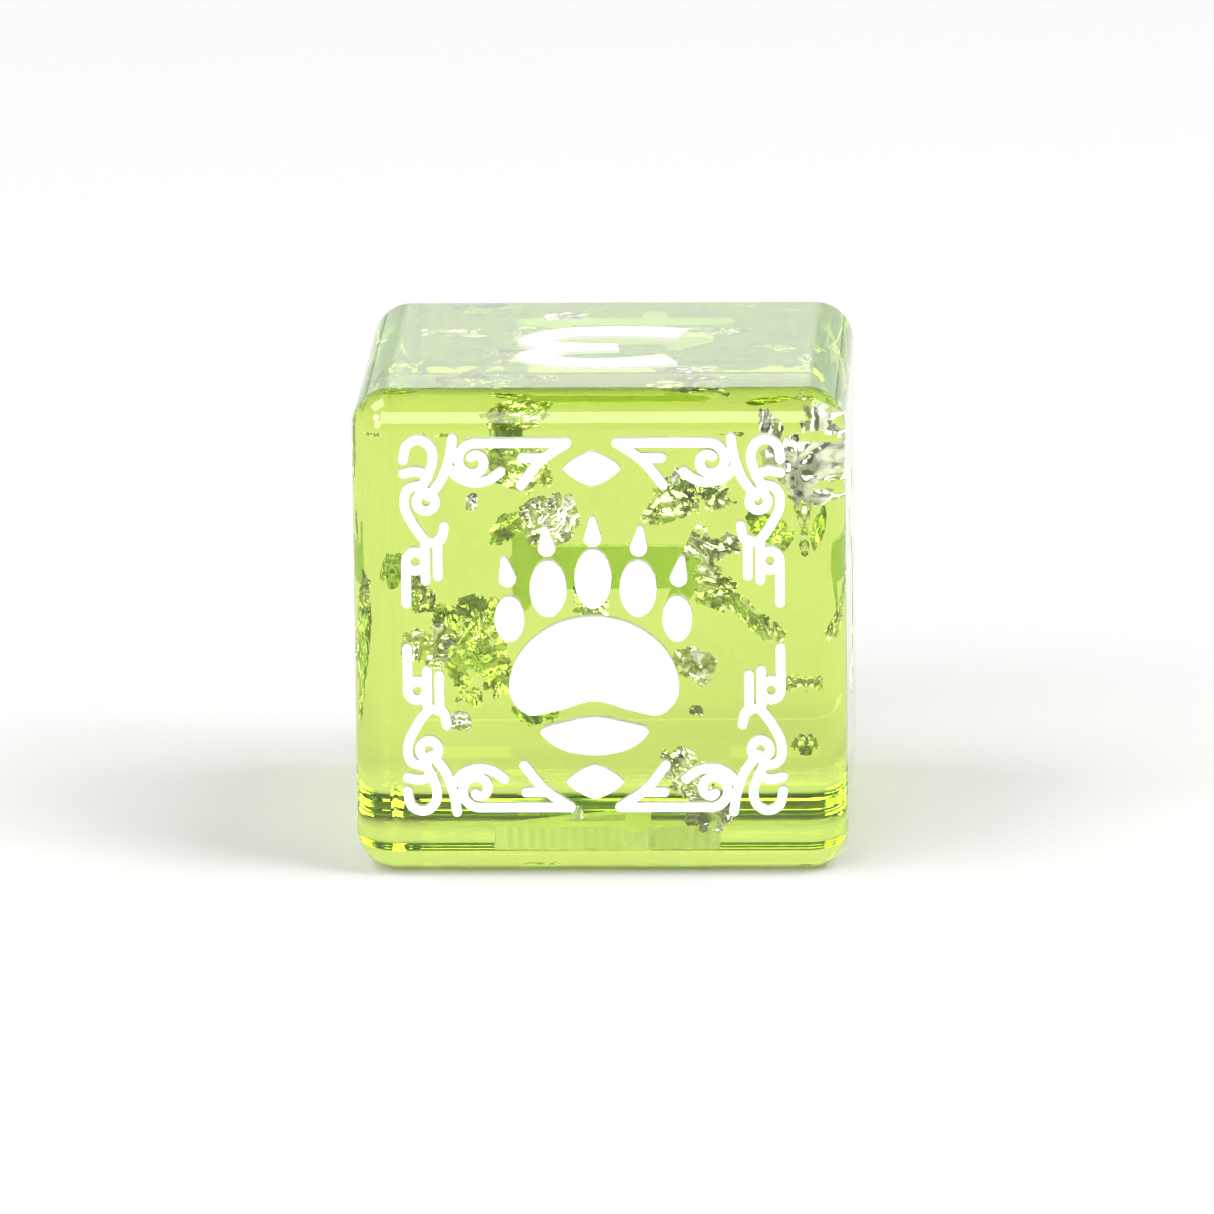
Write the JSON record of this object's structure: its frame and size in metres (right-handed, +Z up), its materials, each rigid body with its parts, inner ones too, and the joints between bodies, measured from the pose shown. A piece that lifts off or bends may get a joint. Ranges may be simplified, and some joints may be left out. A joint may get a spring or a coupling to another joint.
{
  "type": "resin die",
  "caption": "Clear lime resin die with rounded edges, silver foil flakes cast inside, and white painted engravings: a scroll-framed paw print and plain numerals.",
  "frame": {"origin": "centre of the flat bottom face, which carries the four and which the die stands on", "axes": "+Z up to the face with the three; -Y out of the front face with the scroll frame and the paw print; +X to the right as the front face is read"},
  "size_m": [0.016, 0.016, 0.016],
  "materials": {
    "clear_resin": "polished clear lime resin",
    "white_paint": "white acrylic paint in engraved recesses",
    "silver_foil": "crumpled bright silver foil"
  },
  "bodies": {
    "root": {"resin_body": "clear_resin", "scroll_upper_left": "white_paint", "scroll_upper_right": "white_paint", "scroll_lower_left": "white_paint", "scroll_lower_right": "white_paint", "lozenge_upper": "white_paint", "lozenge_lower": "white_paint", "paw_main_pad": "white_paint", "paw_heel_pad": "white_paint", "paw_toe_1": "white_paint", "paw_toe_2": "white_paint", "paw_toe_3": "white_paint", "paw_toe_4": "white_paint", "paw_toe_5": "white_paint", "paw_claw_1": "white_paint", "paw_claw_2": "white_paint", "paw_claw_3": "white_paint", "paw_claw_4": "white_paint", "paw_claw_5": "white_paint", "numeral_one": "white_paint", "numeral_two": "white_paint", "numeral_three": "white_paint", "numeral_four": "white_paint", "numeral_five": "white_paint", "flake_upper_right_large": "silver_foil", "flake_upper_right_strip": "silver_foil", "flake_right_of_toes": "silver_foil", "flake_below_right_toe": "silver_foil", "flake_left_of_claws": "silver_foil", "flake_above_claws": "silver_foil", "flake_claw_leaf": "silver_foil", "flake_right_of_claws": "silver_foil", "flake_behind_toes": "silver_foil", "flake_behind_main_pad": "silver_foil", "flake_left_middle": "silver_foil", "flake_left_second": "silver_foil", "flake_left_deep": "silver_foil", "flake_left_wall": "silver_foil", "flake_right_strip": "silver_foil", "flake_right_wall": "silver_foil", "flake_right_bits": "silver_foil", "flake_right_low": "silver_foil", "flake_right_lowest": "silver_foil", "flake_heel_right": "silver_foil", "flake_heel_speck": "silver_foil", "flake_lower_right": "silver_foil", "flake_lower_right_deep": "silver_foil", "flake_lower_left": "silver_foil", "flake_low_middle": "silver_foil", "flake_upper_left_speck": "silver_foil", "flake_upper_right_speck": "silver_foil", "flake_top_left": "silver_foil", "flake_top_left_blob": "silver_foil", "flake_top_right": "silver_foil", "flake_top_middle": "silver_foil", "flake_top_back": "silver_foil", "flake_back_low": "silver_foil"}
  },
  "joints": []
}
